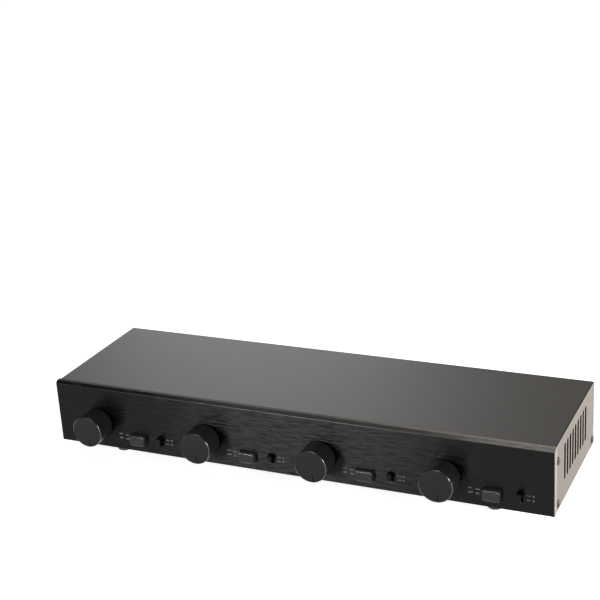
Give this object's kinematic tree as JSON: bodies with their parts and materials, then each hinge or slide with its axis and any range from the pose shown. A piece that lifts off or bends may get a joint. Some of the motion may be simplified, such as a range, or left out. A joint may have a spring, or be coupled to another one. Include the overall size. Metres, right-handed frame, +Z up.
{
  "type": "speaker selector switch",
  "caption": "Low wide audio box with a bevelled brushed front panel, volume knobs, push buttons and slide levers for each zone, a slotted cover, feet and rear screw terminals.",
  "frame": {"origin": "on the surface that the feet stand on, midway between the knobs' front and the terminal plugs' back", "axes": "+X to the right as the user faces the front panel, +Y to the rear, +Z up"},
  "size_m": [0.4318, 0.156, 0.064],
  "materials": {
    "tray_paint": "satin black powder coat on folded steel",
    "cover_paint": "fine-textured semi-matt grey-black paint on folded steel",
    "panel_anodised": "black anodised, brushed along its length",
    "foot_rubber": "matt moulded rubber",
    "black_screw": "black oxide",
    "zinc_screw": "zinc plated",
    "circuit_board": "green solder resist",
    "nickel_brass": "nickel plated",
    "terminal_nylon": "black moulded nylon",
    "core_laminations": "varnished laminations",
    "copper_winding": "enamelled copper under clear tape",
    "frame_steel": "plain steel strap",
    "knob_black": "black anodised with a bright cut rim",
    "shaft_metal": "turned",
    "switch_housing": "moulded phenolic",
    "button_black": "satin moulded plastic",
    "plunger_nylon": "natural nylon",
    "spring_steel": "bright spring wire",
    "lever_black": "moulded plastic"
  },
  "bodies": {
    "case": {"chassis_tray": "tray_paint", "top_cover": "cover_paint", "front_panel": "panel_anodised", "rubber_feet": "foot_rubber", "foot_screws": "black_screw", "cover_screws": "black_screw", "front_panel_screws": "zinc_screw", "control_board": "circuit_board", "terminal_board": "circuit_board", "terminal_board_standoffs": "nickel_brass", "terminal_board_screws": "zinc_screw", "terminal_headers": "terminal_nylon", "shaft_nuts": "nickel_brass", "shaft_washers": "zinc_screw", "autoformer_cores": "core_laminations", "autoformer_windings": "copper_winding", "autoformer_frames": "frame_steel", "rotary_switch_1": "switch_housing", "push_switch_1": "switch_housing", "button_spring_1": "spring_steel", "ab_switch_1": "switch_housing", "rotary_switch_2": "switch_housing", "push_switch_2": "switch_housing", "button_spring_2": "spring_steel", "ab_switch_2": "switch_housing", "rotary_switch_3": "switch_housing", "push_switch_3": "switch_housing", "button_spring_3": "spring_steel", "ab_switch_3": "switch_housing", "rotary_switch_4": "switch_housing", "push_switch_4": "switch_housing", "button_spring_4": "spring_steel", "ab_switch_4": "switch_housing"},
    "volume_control_1": {"volume_knob_1": "knob_black", "volume_shaft_1": "shaft_metal"},
    "zone_button_1": {"zone_button_1": "button_black", "button_plunger_1": "plunger_nylon"},
    "ab_lever_1": {"ab_lever_1": "lever_black"},
    "volume_control_2": {"volume_knob_2": "knob_black", "volume_shaft_2": "shaft_metal"},
    "zone_button_2": {"zone_button_2": "button_black", "button_plunger_2": "plunger_nylon"},
    "ab_lever_2": {"ab_lever_2": "lever_black"},
    "volume_control_3": {"volume_knob_3": "knob_black", "volume_shaft_3": "shaft_metal"},
    "zone_button_3": {"zone_button_3": "button_black", "button_plunger_3": "plunger_nylon"},
    "ab_lever_3": {"ab_lever_3": "lever_black"},
    "volume_control_4": {"volume_knob_4": "knob_black", "volume_shaft_4": "shaft_metal"},
    "zone_button_4": {"zone_button_4": "button_black", "button_plunger_4": "plunger_nylon"},
    "ab_lever_4": {"ab_lever_4": "lever_black"},
    "terminal_plug_a": {"terminal_plug_a": "terminal_nylon"},
    "terminal_plug_b": {"terminal_plug_b": "terminal_nylon"},
    "terminal_plug_1": {"terminal_plug_1": "terminal_nylon"},
    "terminal_plug_2": {"terminal_plug_2": "terminal_nylon"},
    "terminal_plug_3": {"terminal_plug_3": "terminal_nylon"},
    "terminal_plug_4": {"terminal_plug_4": "terminal_nylon"}
  },
  "joints": [
    {"name": "volume_turn_1", "type": "hinge", "parent": "case", "child": "volume_control_1", "pos_m": [-0.1754, -0.0581, 0.03075], "axis": [0, -1, 0], "range_deg": [0, 330]},
    {"name": "button_press_1", "type": "slide", "parent": "case", "child": "zone_button_1", "axis": [0, 1, 0], "range_m": [0, 0.003], "stiffness_N_per_m": 400, "springref_m": -0.003, "deforming": ["button_spring_1"]},
    {"name": "lever_slide_1", "type": "slide", "parent": "case", "child": "ab_lever_1", "axis": [0, 0, 1], "range_m": [-0.003, 0]},
    {"name": "volume_turn_2", "type": "hinge", "parent": "case", "child": "volume_control_2", "pos_m": [-0.0736, -0.0581, 0.03075], "axis": [0, -1, 0], "range_deg": [0, 330]},
    {"name": "button_press_2", "type": "slide", "parent": "case", "child": "zone_button_2", "axis": [0, 1, 0], "range_m": [0, 0.003], "stiffness_N_per_m": 400, "springref_m": -0.003, "deforming": ["button_spring_2"]},
    {"name": "lever_slide_2", "type": "slide", "parent": "case", "child": "ab_lever_2", "axis": [0, 0, 1], "range_m": [-0.003, 0]},
    {"name": "volume_turn_3", "type": "hinge", "parent": "case", "child": "volume_control_3", "pos_m": [0.0282, -0.0581, 0.03075], "axis": [0, -1, 0], "range_deg": [0, 330]},
    {"name": "button_press_3", "type": "slide", "parent": "case", "child": "zone_button_3", "axis": [0, 1, 0], "range_m": [0, 0.003], "stiffness_N_per_m": 400, "springref_m": -0.003, "deforming": ["button_spring_3"]},
    {"name": "lever_slide_3", "type": "slide", "parent": "case", "child": "ab_lever_3", "axis": [0, 0, 1], "range_m": [-0.003, 0]},
    {"name": "volume_turn_4", "type": "hinge", "parent": "case", "child": "volume_control_4", "pos_m": [0.13, -0.0581, 0.03075], "axis": [0, -1, 0], "range_deg": [0, 330]},
    {"name": "button_press_4", "type": "slide", "parent": "case", "child": "zone_button_4", "axis": [0, 1, 0], "range_m": [0, 0.003], "stiffness_N_per_m": 400, "springref_m": -0.003, "deforming": ["button_spring_4"]},
    {"name": "lever_slide_4", "type": "slide", "parent": "case", "child": "ab_lever_4", "axis": [0, 0, 1], "range_m": [-0.003, 0]},
    {"name": "plug_pull_a", "type": "slide", "parent": "case", "child": "terminal_plug_a", "axis": [0, 1, 0], "range_m": [0, 0.009]},
    {"name": "plug_pull_b", "type": "slide", "parent": "case", "child": "terminal_plug_b", "axis": [0, 1, 0], "range_m": [0, 0.009]},
    {"name": "plug_pull_1", "type": "slide", "parent": "case", "child": "terminal_plug_1", "axis": [0, 1, 0], "range_m": [0, 0.009]},
    {"name": "plug_pull_2", "type": "slide", "parent": "case", "child": "terminal_plug_2", "axis": [0, 1, 0], "range_m": [0, 0.009]},
    {"name": "plug_pull_3", "type": "slide", "parent": "case", "child": "terminal_plug_3", "axis": [0, 1, 0], "range_m": [0, 0.009]},
    {"name": "plug_pull_4", "type": "slide", "parent": "case", "child": "terminal_plug_4", "axis": [0, 1, 0], "range_m": [0, 0.009]}
  ]
}
